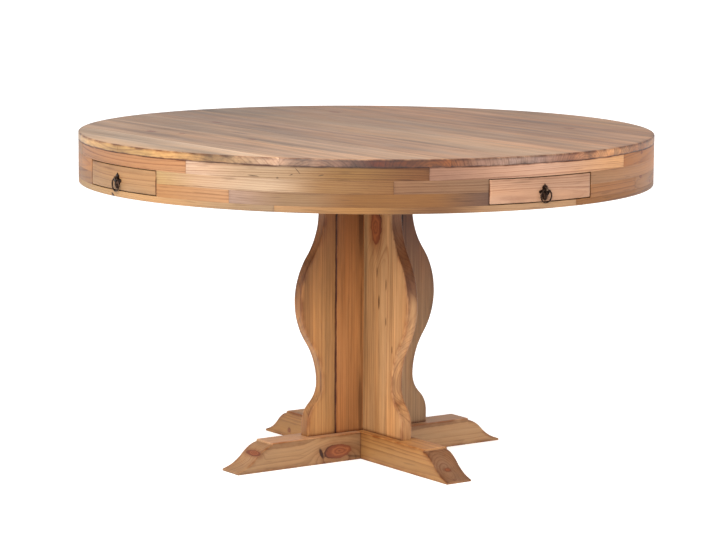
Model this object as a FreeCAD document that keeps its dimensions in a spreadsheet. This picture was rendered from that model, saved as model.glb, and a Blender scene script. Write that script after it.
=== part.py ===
import FreeCAD, Part
import math
import os
import re
import Sketcher

# Round pedestal table with four drawers in its apron.
# Millimetres, +Z up, origin on the floor below the middle of the top.
# Drawer 1 opens towards -Y, and the others follow clockwise seen from above: -X, +Y and +X.

driving = [
    ("tableDiameter", 1320, "across the top and the apron"),
    ("tableHeight", 762, "floor to the top surface"),
    ("topThickness", 17, "planks of the top"),
    ("plankCount", 9, "planks side by side"),
    ("topBevel", 2.6, "eased upper edge of the top"),
    ("seamBevel", 0.8, "bevel on both sides of the seam below the top"),
    ("apronThickness", 35, "wall of the apron ring"),
    ("courseHeight", 28, "each of the three upper courses of blocks"),
    ("bottomCourseHeight", 14, "thin lowest course"),
    ("apronBevel", 1.8, "eased lower edge of the apron"),
    ("topJointY", 23.5, "degrees from a front or back drawer's middle to a top course joint"),
    ("topJointX", 19.5, "degrees from a side drawer's middle to a top course joint"),
    ("upperJoint", 30, "degrees from a drawer's middle to the next joint in the upper course"),
    ("lowerJoint", 61, "the same in the lower course"),
    ("bottomJoint", 8, "degrees by which the bottom course's joints are turned"),
    ("openingWidth", 276, "drawer opening across its sides"),
    ("faceSideGap", 2.5, "drawer face to the opening's side"),
    ("faceEndGap", 2, "drawer face to the opening's top and bottom"),
    ("faceThickness", 35, "drawer face at its middle"),
    ("faceArris", 1.2, "eased edges round the drawer face"),
    ("drawerDepth", 380, "front of the face to the back of the box"),
    ("drawerSideHeight", 49, "side boards of a drawer"),
    ("drawerBoard", 12, "thickness of a drawer's sides and back"),
    ("rabbetDepth", 8, "lap of a side board behind the face's end"),
    ("bottomPanel", 5, "plywood bottom of a drawer"),
    ("grooveDepth", 5, "groove that holds the bottom"),
    ("grooveRise", 8, "groove above the lower edge of the side"),
    ("panelFit", 0.3, "play of the bottom in its grooves"),
    ("runningGap", 0.3, "drawer side above its runner"),
    ("stopGap", 0.5, "drawer back to its stops"),
    ("railThickness", 22, "boards of the frame inside the apron"),
    ("scribeFit", 0.3, "rail end to the apron's inner wall"),
    ("runnerWidth", 25, "batten below a drawer side"),
    ("kickerWidth", 20, "batten above a drawer side"),
    ("stopLength", 25, "block behind a drawer, along the slide"),
    ("stopHeight", 20, "block above the runner"),
    ("boardThickness", 28, "mounting board under the top"),
    ("panelThickness", 30, "boards of the pedestal"),
    ("coreHalfWidth", 92.5, "pedestal axis to the joint of core and wing"),
    ("footFlare", 169, "pedestal half width on the feet"),
    ("flareTop", 92, "height where the flare starts to turn in"),
    ("waistWidth", 129, "pedestal half width at the waist"),
    ("waistHeight", 183, "height of the waist"),
    ("bellyWidth", 189, "pedestal half width at the belly"),
    ("bellyHeight", 376, "height of the belly"),
    ("neckWidth", 124, "pedestal half width at the neck"),
    ("neckHeight", 580, "height where the neck becomes straight"),
    ("panelArris", 2.4, "eased free edges of the wings"),
    ("jointBevel", 1.4, "V-groove between core and wing, on the panel along X"),
    ("footWidth", 68, "beam of the foot across"),
    ("footHeight", 63.5, "beam of the foot, floor to flat top"),
    ("footLength", 370, "axis to the tip of a foot"),
    ("footCrest", 277, "axis to the end of the flat top"),
    ("filletRun", 2, "run of the small step below the crest"),
    ("filletDrop", 5, "drop of that step"),
    ("ogeeLength", 322, "axis to the turn of the ogee"),
    ("ogeeHeight", 31, "floor to the turn of the ogee"),
    ("toeLength", 362, "axis to the start of the toe"),
    ("toeHeight", 7.5, "floor to the start of the toe"),
    ("noseHeight", 4.5, "upright nose at the tip"),
    ("crownRadius", 66, "upper curve of the ogee"),
    ("hollowRadius", 92, "lower curve of the ogee"),
    ("footArris", 2.2, "eased long edges of a foot's flat top"),
    ("armScrew", 62, "axis to the fastener of each arm"),
    ("screwRadius", 2.5, "shank of the wood screws"),
    ("screwAcross", 8, "across the flats of their heads"),
    ("screwHeadHeight", 3, "height of their heads"),
    ("headScrewLength", 68, "mounting board into the pedestal"),
    ("topScrewLength", 38, "mounting board into the top"),
    ("topScrew", 84, "top screw from both middle lines"),
    ("counterbore", 6, "depth of the seats in the mounting board"),
    ("seatRadius", 6, "radius of those seats"),
    ("lagRadius", 4, "shank of the coach screws through the feet"),
    ("lagLength", 90, "shank of the coach screws"),
    ("lagAcross", 13, "across the flats of their heads"),
    ("lagHeadHeight", 5.5, "height of their heads"),
    ("lagSeatRadius", 11, "counterbore below a foot"),
    ("lagSeatDepth", 20, "depth of that counterbore"),
    ("screwFit", 0.1, "hole round a shank"),
    ("pullRise", 26, "lower edge of a drawer face to the eye of its pull"),
    ("plateThickness", 1.8, "backplate of a pull"),
    ("postRadius", 2, "threaded post through the drawer face"),
    ("postFit", 0.3, "hole round the post"),
    ("domeDrop", 13.5, "eye to the middle of the plate's dome"),
    ("domeRadius", 6.5, "dome on the tongue of the plate"),
    ("domeCrown", 3.5, "its flat crown"),
    ("domeHeight", 4.5, "dome above the plate"),
    ("collarRadius", 4.4, "collar of the post on the plate"),
    ("collarHeight", 1.2, "thickness of the collar"),
    ("eyeRadius", 3.7, "round head with the eye"),
    ("eyeWidth", 4.6, "that head along the ring's hinge line"),
    ("eyeReach", 5.7, "drawer face to the middle of the eye"),
    ("eyeHole", 2.3, "radius of the eye"),
    ("ringRadius", 14.2, "middle line of the ring"),
    ("ringBar", 2.7, "the ring's square bar"),
    ("nutAcross", 7, "nut across its flats"),
    ("nutThickness", 3.2, "nut behind the drawer face"),
    ("postTail", 2.5, "post past the nut"),
]

doc = FreeCAD.newDocument("PedestalTable")
sheet = doc.addObject("Spreadsheet::Sheet", "Sizes")
for row, (name, size, note) in enumerate(driving, start=1):
    sheet.set(f"A{row}", name)
    sheet.set(f"B{row}", str(size))
    sheet.set(f"C{row}", note)
    sheet.setAlias(f"B{row}", name)
doc.recompute()
aliases = {name for name, size, note in driving}

# Places that follow from the driving sizes, as expressions of the sheet.
tableRadius = "(tableDiameter / 2)"
apronInner = "(tableDiameter / 2 - apronThickness)"
topUnderside = "(tableHeight - topThickness)"
openingTop = f"({topUnderside} - courseHeight)"
openingBottom = f"({openingTop} - 2 * courseHeight)"
apronBottom = f"({openingBottom} - bottomCourseHeight)"
openingHalf = "(openingWidth / 2)"
faceHalf = f"({openingHalf} - faceSideGap)"
faceBottom = f"({openingBottom} + faceEndGap)"
faceHeight = "(2 * courseHeight - 2 * faceEndGap)"
faceInner = f"({tableRadius} - faceThickness)"
eyeHeight = f"({faceBottom} + pullRise)"
runnerTop = f"({faceBottom} - runningGap)"
grooveBottom = f"({faceBottom} + grooveRise)"
boxEnd = f"({tableRadius} - drawerDepth)"
railOuter = f"({openingHalf} + railThickness)"
boardBottom = f"({topUnderside} - boardThickness)"
halfHeight = f"((footHeight + {boardBottom}) / 2)"


def tied(text):
    """The expression with each size as a cell of the sheet."""
    return re.sub(r"[A-Za-z]\w*", lambda word: "Sizes." + word[0] if word[0] in aliases else word[0], text)


def worth(text):
    return float(sheet.evalExpression(tied(text)))


def bind(thing, field, text):
    thing.setExpression(field, tied(text))


def newBody(label, turn=0):
    """A body, turned about the table's axis by some degrees."""
    body = doc.addObject("PartDesign::Body", label)
    body.Label = label
    body.AllowCompound = True
    body.Placement = FreeCAD.Placement(FreeCAD.Vector(), FreeCAD.Rotation(FreeCAD.Vector(0, 0, 1), turn))
    return body


def newSketch(body, plane, offset="0"):
    """A sketch on one of the body's planes, moved along the plane's normal."""
    sketch = body.newObject("Sketcher::SketchObject", body.Label + "Sketch")
    support = [feature for feature in body.Origin.OriginFeatures if feature.Role == plane][0]
    sketch.AttachmentSupport = [(support, "")]
    sketch.MapMode = "FlatFace"
    if offset != "0":
        bind(sketch, "AttachmentOffset.Base.z", offset)
    return sketch


def pin(sketch, edge, end, place):
    """Tie one point of an edge to its two coordinates."""
    for kind, text in zip(("DistanceX", "DistanceY"), place):
        index = sketch.addConstraint(Sketcher.Constraint(kind, -1, 1, edge, end, worth(text)))
        bind(sketch, f"Constraints[{index}]", text)


def tieRadius(sketch, edge, text):
    index = sketch.addConstraint(Sketcher.Constraint("Radius", edge, worth(text)))
    bind(sketch, f"Constraints[{index}]", text)


def arcBetween(start, finish, radius):
    """The short arc from start to finish: left-hand turn for a positive radius, right-hand for a negative."""
    chord = finish - start
    middle = (start + finish) * 0.5
    rise = math.sqrt(max(radius * radius - chord.Length ** 2 / 4, 0))
    across = FreeCAD.Vector(-chord.y, chord.x, 0).normalize()
    centre = middle + across * math.copysign(rise, radius)
    if radius < 0:
        start, finish = finish, start
    angles = [math.atan2(spot.y - centre.y, spot.x - centre.x) for spot in (start, finish)]
    circle = Part.Circle(centre, FreeCAD.Vector(0, 0, 1), abs(radius))
    return Part.ArcOfCircle(circle, angles[0], angles[1])


def outline(sketch, corners):
    """A closed outline. A corner is (x, y), or (x, y, radius, turn) where an arc leaves it."""
    spots = [FreeCAD.Vector(worth(corner[0]), worth(corner[1]), 0) for corner in corners]
    edges = []
    for index, corner in enumerate(corners):
        start = spots[index]
        finish = spots[(index + 1) % len(spots)]
        if len(corner) == 2:
            edge = sketch.addGeometry(Part.LineSegment(start, finish), False)
            edges.append((edge, 1, 2))
            continue
        turn = corner[3]
        edge = sketch.addGeometry(arcBetween(start, finish, turn * worth(corner[2])), False)
        edges.append((edge, 1, 2) if turn > 0 else (edge, 2, 1))
    for index, corner in enumerate(corners):
        edge, first, last = edges[index]
        following = edges[(index + 1) % len(edges)]
        sketch.addConstraint(Sketcher.Constraint("Coincident", edge, last, following[0], following[1]))
        pin(sketch, edge, first, corner[:2])
        if len(corner) == 4:
            tieRadius(sketch, edge, corner[2])


def rectangle(sketch, left, low, right, high):
    outline(sketch, [(left, low), (right, low), (right, high), (left, high)])


def circles(sketch, spots, radius):
    for spot in spots:
        centre = FreeCAD.Vector(worth(spot[0]), worth(spot[1]), 0)
        edge = sketch.addGeometry(Part.Circle(centre, FreeCAD.Vector(0, 0, 1), worth(radius)), False)
        pin(sketch, edge, 3, spot)
        tieRadius(sketch, edge, radius)


def hexagon(sketch, spot, across):
    corner = f"({across} / 2 / cos(30))"
    outline(sketch, [(f"{spot[0]} + {corner} * cos({60 * side})", f"{spot[1]} + {corner} * sin({60 * side})")
                     for side in range(6)])


def pad(sketch, length, symmetric=False):
    body = sketch.getParentGeoFeatureGroup()
    feature = body.newObject("PartDesign::Pad", sketch.Name + "Pad")
    feature.Profile = sketch
    bind(feature, "Length", length)
    if symmetric:
        feature.SideType = "Symmetric"
    settle(sketch)
    return feature


def pocket(sketch, depth=None):
    """A pocket to a depth against the sketch's normal, or with no depth right through both ways."""
    body = sketch.getParentGeoFeatureGroup()
    before = body.Shape.Volume
    feature = body.newObject("PartDesign::Pocket", sketch.Name + "Pocket")
    feature.Profile = sketch
    if depth is None:
        feature.Type = "ThroughAll"
        feature.SideType = "Symmetric"
    else:
        bind(feature, "Length", depth)
    settle(sketch)
    if body.Shape.Volume >= before - 0.01:
        raise RuntimeError(f"{feature.Name} cuts nothing")
    return feature


def revolve(sketch, axis):
    body = sketch.getParentGeoFeatureGroup()
    feature = body.newObject("PartDesign::Revolution", sketch.Name + "Revolution")
    feature.Profile = sketch
    feature.ReferenceAxis = (sketch, [axis])
    feature.Angle = 360
    settle(sketch)
    return feature


def settle(sketch):
    sketch.Visibility = False
    doc.recompute()


def ease(body, size, chosen):
    """A chamfer along the edges that the test chooses."""
    base = body.Tip
    names = [f"Edge{index}" for index, edge in enumerate(base.Shape.Edges, start=1) if chosen(edge)]
    if not names:
        raise RuntimeError(f"{body.Label} has no edge to ease")
    feature = body.newObject("PartDesign::Chamfer", body.Label + "Eased")
    feature.Base = (base, names)
    bind(feature, "Size", size)
    doc.recompute()


def roundPattern(body, feature, copies):
    pattern = body.newObject("PartDesign::PolarPattern", body.Label + "Pattern")
    pattern.Originals = [feature]
    axis = [part for part in body.Origin.OriginFeatures if part.Role == "Z_Axis"][0]
    pattern.Axis = (axis, [""])
    pattern.Angle = 360
    pattern.Occurrences = copies
    body.Tip = pattern
    doc.recompute()
    return pattern


def drill(body, spots, radius, top, depth):
    """Holes down from one height."""
    sketch = newSketch(body, "XY_Plane", top)
    circles(sketch, spots, radius)
    return pocket(sketch, depth)


def ends(edge, test):
    """Whether both ends of an edge, and its middle, pass a test."""
    middle = edge.valueAt((edge.FirstParameter + edge.LastParameter) / 2)
    return all(test(spot) for spot in [vertex.Point for vertex in edge.Vertexes] + [middle])


def near(one, other, slack=0.05):
    return abs(one - other) < slack


subparts = []


def keep(thing, label=None):
    """Make an object one of the part's named pieces."""
    if label:
        thing.Label = label
    subparts.append(thing)


# The top: one turned disc with a rounded edge, sawn into planks that run along Y.

def makeTop():
    disc = newBody("topDisc")
    sketch = newSketch(disc, "XZ_Plane")
    outline(sketch, [
        ("0", topUnderside),
        (f"{tableRadius} - seamBevel", topUnderside),
        (tableRadius, f"{topUnderside} + seamBevel"),
        (tableRadius, "tableHeight - topBevel"),
        (f"{tableRadius} - topBevel", "tableHeight"),
        ("0", "tableHeight"),
    ])
    revolve(sketch, "V_Axis")
    tip = f"{boardBottom} + topScrewLength"
    drill(disc, topScrewSpots(), "screwRadius + screwFit", tip, "topScrewLength")
    count = round(worth("plankCount"))
    for index in range(count):
        strip = doc.addObject("Part::Box", f"strip{index + 1}")
        first = index == 0
        last = index == count - 1
        margin = "topThickness"
        start = f"-{tableRadius} + {index} * tableDiameter / plankCount"
        bind(strip, "Length", f"tableDiameter / plankCount + {int(first) + int(last)} * {margin}")
        bind(strip, "Width", f"tableDiameter + 2 * {margin}")
        bind(strip, "Height", f"topThickness + 2 * {margin}")
        bind(strip, "Placement.Base.x", f"{start} - {int(first)} * {margin}")
        bind(strip, "Placement.Base.y", f"-{tableRadius} - {margin}")
        bind(strip, "Placement.Base.z", f"{topUnderside} - {margin}")
        plank = doc.addObject("Part::Common", f"plank{index + 1}")
        plank.Base = disc
        plank.Tool = strip
        keep(plank, f"top_plank_{index + 1}")
    doc.recompute()


# The apron: four courses of blocks, laid like bricks, with the drawer openings through the middle two.

def makeRing(label, low, high, lowBevel=None, highBevel=None, opened=False):
    ring = newBody(label)
    sketch = newSketch(ring, "XZ_Plane")
    lowCorner = [(tableRadius, low)]
    if lowBevel:
        lowCorner = [(f"{tableRadius} - {lowBevel}", low), (tableRadius, f"{low} + {lowBevel}")]
    highCorner = [(tableRadius, high)]
    if highBevel:
        highCorner = [(tableRadius, f"{high} - {highBevel}"), (f"{tableRadius} - {highBevel}", high)]
    outline(sketch, [(apronInner, low)] + lowCorner + highCorner + [(apronInner, high)])
    revolve(sketch, "V_Axis")
    if opened:
        for plane in ("XZ_Plane", "YZ_Plane"):
            sketch = newSketch(ring, plane)
            rectangle(sketch, f"-{openingHalf}", openingBottom, openingHalf, openingTop)
            pocket(sketch)
    return ring


def makeCourse(label, ring, low, high, joints):
    """Saw a ring at its joints. A joint is in degrees from the -Y direction, towards +X."""
    blocks = []
    for index, joint in enumerate(joints):
        following = joints[(index + 1) % len(joints)]
        lap = 360 if index == len(joints) - 1 else 0
        sector = doc.addObject("Part::Cylinder", f"{label}Sector{index + 1}")
        bind(sector, "Radius", f"{tableRadius} + apronThickness")
        bind(sector, "Height", f"{high} - {low} + 2 * apronThickness")
        bind(sector, "Angle", f"{following} + {lap} - ({joint})")
        bind(sector, "Placement.Base.z", f"{low} - apronThickness")
        bind(sector, "Placement.Rotation.Angle", f"{joint} - 90")
        block = doc.addObject("Part::Common", f"{label}Block{index + 1}")
        block.Base = ring
        block.Tool = sector
        blocks.append(block)
    course = doc.addObject("Part::Compound", label)
    course.Links = blocks
    doc.recompute()
    keep(course, label)


def makeApron():
    ring = makeRing("topRing", openingTop, topUnderside, highBevel="seamBevel")
    joints = []
    for quarter in range(4):
        half = "topJointX" if quarter % 2 else "topJointY"
        joints += [f"{90 * quarter} - {half}", f"{90 * quarter} + {half}"]
    makeCourse("apron_top_course", ring, openingTop, topUnderside, joints)

    middle = f"({openingBottom} + courseHeight)"
    ring = makeRing("upperRing", middle, openingTop, opened=True)
    makeCourse("apron_upper_course", ring, middle, openingTop,
               [f"{90 * quarter} - upperJoint" for quarter in range(4)])
    ring = makeRing("lowerRing", openingBottom, middle, opened=True)
    makeCourse("apron_lower_course", ring, openingBottom, middle,
               [f"{90 * quarter} - lowerJoint" for quarter in range(4)])

    ring = makeRing("bottomRing", apronBottom, openingBottom, lowBevel="apronBevel")
    makeCourse("apron_bottom_course", ring, apronBottom, openingBottom,
               [f"{60 * block} + bottomJoint" for block in range(6)])


# The frame inside the apron: four rails, halved over each other, that guide the drawers.

def makeRail(label, turn, notchLow):
    """A rail along Y on the +X side, before its turn. The notches are in its lower or its upper half."""
    rail = newBody(label, turn)
    reach = f"({apronInner} - scribeFit)"
    sketch = newSketch(rail, "XY_Plane", apronBottom)
    outline(sketch, [
        (openingHalf, f"-sqrt({reach}^2 - {openingHalf}^2)", reach, 1),
        (railOuter, f"-sqrt({reach}^2 - {railOuter}^2)"),
        (railOuter, f"sqrt({reach}^2 - {railOuter}^2)", reach, 1),
        (openingHalf, f"sqrt({reach}^2 - {openingHalf}^2)"),
    ])
    pad(sketch, f"{topUnderside} - {apronBottom}")
    middle = f"(({topUnderside} + {apronBottom}) / 2)"
    low, high = (apronBottom, middle) if notchLow else (middle, topUnderside)
    sketch = newSketch(rail, "YZ_Plane")
    for sign in ("", "-"):
        rectangle(sketch, f"{sign}{openingHalf}", low, f"{sign}{railOuter}", high)
    pocket(sketch)
    keep(rail)


def makeFrame():
    makeRail("frame_rail_right", 0, False)
    makeRail("frame_rail_left", 180, False)
    makeRail("frame_rail_back", 90, True)
    makeRail("frame_rail_front", -90, True)

    # Battens beside the rails: runners below the drawer sides, kickers above them, stops behind them.
    corner = f"(sqrt({apronInner}^2 - {openingHalf}^2) - scribeFit)"
    height = f"{runnerTop} - {apronBottom}"
    makeBattens("drawer_runners", "runnerWidth", corner, railOuter, apronBottom, height)
    makeBattens("drawer_kickers", "kickerWidth", corner, railOuter, openingTop, "courseHeight")
    stopFront = f"({boxEnd} - stopGap)"
    stopBack = f"({stopFront} - stopLength)"
    makeBattens("drawer_stops", "runnerWidth", stopFront, stopBack, runnerTop, "stopHeight")

    board = newBody("mounting_board")
    sketch = newSketch(board, "XY_Plane", boardBottom)
    rectangle(sketch, f"-{openingHalf}", f"-{openingHalf}", openingHalf, openingHalf)
    pad(sketch, "boardThickness")
    drill(board, armSpots(), "seatRadius", topUnderside, "counterbore")
    drill(board, armSpots(), "screwRadius + screwFit", topUnderside, "boardThickness")
    drill(board, topScrewSpots(), "screwRadius + screwFit", topUnderside, "boardThickness")
    keep(board)


def makeBattens(label, width, far, close, low, height):
    """A pair of battens against the rails on both sides of each drawer."""
    body = newBody(label)
    sketch = newSketch(body, "XY_Plane", low)
    for sign in ("", "-"):
        rectangle(sketch, f"{sign}{openingHalf}", f"-{far}", f"{sign}({openingHalf} - {width})", f"-{close}")
    feature = pad(sketch, height)
    roundPattern(body, feature, 4)
    keep(body)


def armSpots():
    """One fastener on each of the four arms."""
    return [("armScrew", "0"), ("-armScrew", "0"), ("0", "armScrew"), ("0", "-armScrew")]


def topScrewSpots():
    """One screw in each quarter of the mounting board."""
    return [(signX + "topScrew", signY + "topScrew") for signX in ("", "-") for signY in ("", "-")]


# The pedestal: two shaped panels that cross. Each is a core board with a wing glued to either side.

def ogee(fromWidth, fromHeight, toWidth, toHeight, turn):
    """Two equal arcs, upright at both ends. The corner where they meet is half-way."""
    across = f"({toWidth} - {fromWidth})"
    rise = f"({toHeight} - {fromHeight})"
    radius = f"(({across}^2 + {rise}^2) / 4 / abs({across}))"
    return [
        (fromWidth, fromHeight, radius, turn),
        (f"({fromWidth} + {toWidth}) / 2", f"({fromHeight} + {toHeight}) / 2", radius, -turn),
    ]


def makeWing(label, turn, grooved):
    """The wing on the +X arm, before its turn. A groove shows its joint with the core."""
    wing = newBody(label, turn)
    sketch = newSketch(wing, "XZ_Plane")
    corners = [("coreHalfWidth", "footHeight"), ("footFlare", "footHeight")]
    corners += ogee("footFlare", "flareTop", "waistWidth", "waistHeight", 1)
    corners += ogee("waistWidth", "waistHeight", "bellyWidth", "bellyHeight", -1)
    corners += ogee("bellyWidth", "bellyHeight", "neckWidth", "neckHeight", 1)
    corners += [("neckWidth", "neckHeight"), ("neckWidth", boardBottom), ("coreHalfWidth", boardBottom)]
    outline(sketch, corners)
    pad(sketch, "panelThickness", symmetric=True)
    side = worth("panelThickness / 2")
    joint = worth("coreHalfWidth")
    ease(wing, "panelArris",
          lambda edge: ends(edge, lambda spot: near(abs(spot.y), side) and spot.x > joint + 1)
          and edge.BoundBox.ZLength > 1)
    if grooved:
        ease(wing, "jointBevel",
              lambda edge: ends(edge, lambda spot: near(abs(spot.y), side) and near(spot.x, joint)))
    keep(wing)


def makeCore(label, turn, notchLow, grooved):
    """The core board along X, before its turn, halved for the other core."""
    core = newBody(label, turn)
    sketch = newSketch(core, "XZ_Plane")
    rectangle(sketch, "-coreHalfWidth", "footHeight", "coreHalfWidth", boardBottom)
    pad(sketch, "panelThickness", symmetric=True)
    if grooved:
        side = worth("panelThickness / 2")
        joint = worth("coreHalfWidth")
        ease(core, "jointBevel",
              lambda edge: ends(edge, lambda spot: near(abs(spot.y), side) and near(abs(spot.x), joint)))
    low, high = ("footHeight", halfHeight) if notchLow else (halfHeight, boardBottom)
    sketch = newSketch(core, "XZ_Plane")
    rectangle(sketch, "-panelThickness / 2", low, "panelThickness / 2", high)
    pocket(sketch)
    spots = [("armScrew", "0"), ("-armScrew", "0")]
    depth = "headScrewLength - boardThickness + counterbore"
    drill(core, spots, "screwRadius + screwFit", boardBottom, depth)
    reach = "lagLength + lagSeatDepth"
    drill(core, spots, "lagRadius + screwFit", reach, f"{reach} - footHeight")
    keep(core)


def makeFoot(label, turn, notchLow):
    """A foot beam along X, before its turn, halved for the other beam."""
    foot = newBody(label, turn)
    sketch = newSketch(foot, "XZ_Plane")
    outline(sketch, [
        ("-footLength", "0"),
        ("footLength", "0"),
        ("footLength", "noseHeight"),
        ("toeLength", "toeHeight", "hollowRadius", -1),
        ("ogeeLength", "ogeeHeight", "crownRadius", 1),
        ("footCrest + filletRun", "footHeight - filletDrop"),
        ("footCrest", "footHeight"),
        ("-footCrest", "footHeight"),
        ("-footCrest - filletRun", "footHeight - filletDrop", "crownRadius", 1),
        ("-ogeeLength", "ogeeHeight", "hollowRadius", -1),
        ("-toeLength", "toeHeight"),
        ("-footLength", "noseHeight"),
    ])
    pad(sketch, "footWidth", symmetric=True)
    side, top = worth("footWidth / 2"), worth("footHeight")
    ease(foot, "footArris",
          lambda edge: ends(edge, lambda spot: near(abs(spot.y), side) and near(spot.z, top)))
    middle = "(footHeight / 2)"
    low, high = ("0", middle) if notchLow else (middle, "footHeight")
    sketch = newSketch(foot, "XZ_Plane")
    rectangle(sketch, "-footWidth / 2", low, "footWidth / 2", high)
    pocket(sketch)
    spots = [("armScrew", "0"), ("-armScrew", "0")]
    drill(foot, spots, "lagSeatRadius", "lagSeatDepth", "lagSeatDepth")
    drill(foot, spots, "lagRadius + screwFit", "footHeight", "footHeight")
    keep(foot)


def makePedestal():
    makeCore("pedestal_core_x", 0, False, grooved=True)
    makeCore("pedestal_core_y", 90, True, grooved=False)
    for index, side in enumerate(("right", "back", "left", "front")):
        makeWing(f"pedestal_wing_{side}", 90 * index, grooved=index % 2 == 0)
    makeFoot("foot_beam_x", 0, False)
    makeFoot("foot_beam_y", 90, True)


# Fasteners with hexagon heads. Like ones share a node.

def makeScrews(label, spots, shank, headAt, radius, across, headHeight):
    """Screws along Z. The shank and the head are given by where they start and how tall they are."""
    screws = newBody(label)
    sketch = newSketch(screws, "XY_Plane", shank[0])
    circles(sketch, spots, radius)
    pad(sketch, shank[1])
    sketch = newSketch(screws, "XY_Plane", headAt)
    for spot in spots:
        hexagon(sketch, spot, across)
    pad(sketch, headHeight)
    keep(screws)


def makeFasteners():
    seat = f"({topUnderside} - counterbore)"
    makeScrews("pedestal_screws", armSpots(), (f"{seat} - headScrewLength", "headScrewLength"), seat,
               "screwRadius", "screwAcross", "screwHeadHeight")
    makeScrews("top_screws", topScrewSpots(), (boardBottom, "topScrewLength"),
               f"{boardBottom} - screwHeadHeight", "screwRadius", "screwAcross", "screwHeadHeight")
    makeScrews("foot_lag_screws", armSpots(), ("lagSeatDepth", "lagLength"), "lagSeatDepth - lagHeadHeight",
               "lagRadius", "lagAcross", "lagHeadHeight")


# A drawer that opens towards -Y, before its turn.

def makeDrawer(number, turn):
    name = f"drawer_{number}_"

    face = newBody(name + "face", turn)
    sketch = newSketch(face, "XY_Plane", faceBottom)
    edgeDepth = f"sqrt({tableRadius}^2 - {faceHalf}^2)"
    lap = f"({faceInner} + rabbetDepth)"
    boxHalf = f"({faceHalf} - drawerBoard)"
    outline(sketch, [
        (f"-{faceHalf}", f"-{edgeDepth}", tableRadius, 1),
        (faceHalf, f"-{edgeDepth}"),
        (faceHalf, f"-{lap}"),
        (boxHalf, f"-{lap}"),
        (boxHalf, f"-{faceInner}"),
        (f"-{boxHalf}", f"-{faceInner}"),
        (f"-{boxHalf}", f"-{lap}"),
        (f"-{faceHalf}", f"-{lap}"),
    ])
    pad(sketch, faceHeight)
    radius = worth(tableRadius)
    ease(face, "faceArris",
          lambda edge: ends(edge, lambda spot: near(math.hypot(spot.x, spot.y), radius)))
    sketch = newSketch(face, "XY_Plane", f"{grooveBottom} + bottomPanel")
    rectangle(sketch, f"-{boxHalf}", f"-{faceInner} - grooveDepth", boxHalf, f"-{faceInner}")
    pocket(sketch, "bottomPanel")
    sketch = newSketch(face, "XZ_Plane")
    circles(sketch, [("0", eyeHeight)], "postRadius + postFit")
    pocket(sketch)
    keep(face)

    sides = newBody(name + "sides", turn)
    sketch = newSketch(sides, "XZ_Plane", boxEnd)
    top = f"{faceBottom} + drawerSideHeight"
    for sign in ("", "-"):
        outline(sketch, [
            (sign + boxHalf, faceBottom),
            (sign + faceHalf, faceBottom),
            (sign + faceHalf, top),
            (sign + boxHalf, top),
            (sign + boxHalf, f"{grooveBottom} + bottomPanel"),
            (f"{sign}({boxHalf} + grooveDepth)", f"{grooveBottom} + bottomPanel"),
            (f"{sign}({boxHalf} + grooveDepth)", grooveBottom),
            (sign + boxHalf, grooveBottom),
        ])
    pad(sketch, f"{lap} - {boxEnd}")
    keep(sides)

    back = newBody(name + "back", turn)
    sketch = newSketch(back, "XY_Plane", f"{grooveBottom} + bottomPanel")
    rectangle(sketch, f"-{boxHalf}", f"-{boxEnd} - drawerBoard", boxHalf, f"-{boxEnd}")
    pad(sketch, "drawerSideHeight - grooveRise - bottomPanel")
    keep(back)

    bottom = newBody(name + "bottom", turn)
    sketch = newSketch(bottom, "XY_Plane", grooveBottom)
    half = f"({boxHalf} + grooveDepth - panelFit)"
    rectangle(sketch, f"-{half}", f"-{faceInner} - grooveDepth + panelFit", half, f"-{boxEnd}")
    pad(sketch, "bottomPanel")
    keep(bottom)


# The ring pull in the middle of a drawer face: a crowned backplate, a post with a round eye, and the ring.

# The right half of the backplate, upwards: across and above the eye, and the arc where one leaves the point.
plateHalf = [
    (0, -24, 6.5, 1),
    (6.5, -17.5),
    (12, -8, 3.3, 1),
    (15.3, -2.8),
    (5, 0.4, 4.2, 1),
    (4, 8),
    (1.8, 8.8, 2.4, 1),
]
plateTip = (0, 11.5)


def plateCorners():
    """The right half, the tip, and the mirror image of the right half."""
    corners = plateHalf + [plateTip + plateHalf[-1][2:]]
    for here, below in zip(reversed(plateHalf[1:]), reversed(plateHalf[:-1])):
        corners.append((-here[0], here[1]) + below[2:])
    placed = []
    for across, above, *arc in corners:
        placed.append((str(across), f"{eyeHeight} + {above}") + ((str(arc[0]), arc[1]) if arc else ()))
    return placed


def revolveAcross(sketch, height):
    """Turn a sketch on the YZ plane about a level line that points out of the drawer face."""
    start = FreeCAD.Vector(0, worth(height), 0)
    finish = FreeCAD.Vector(-worth(tableRadius), worth(height), 0)
    axis = sketch.addGeometry(Part.LineSegment(start, finish), True)
    pin(sketch, axis, 1, ("0", height))
    pin(sketch, axis, 2, (f"-{tableRadius}", height))
    revolve(sketch, "Axis0")


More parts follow.
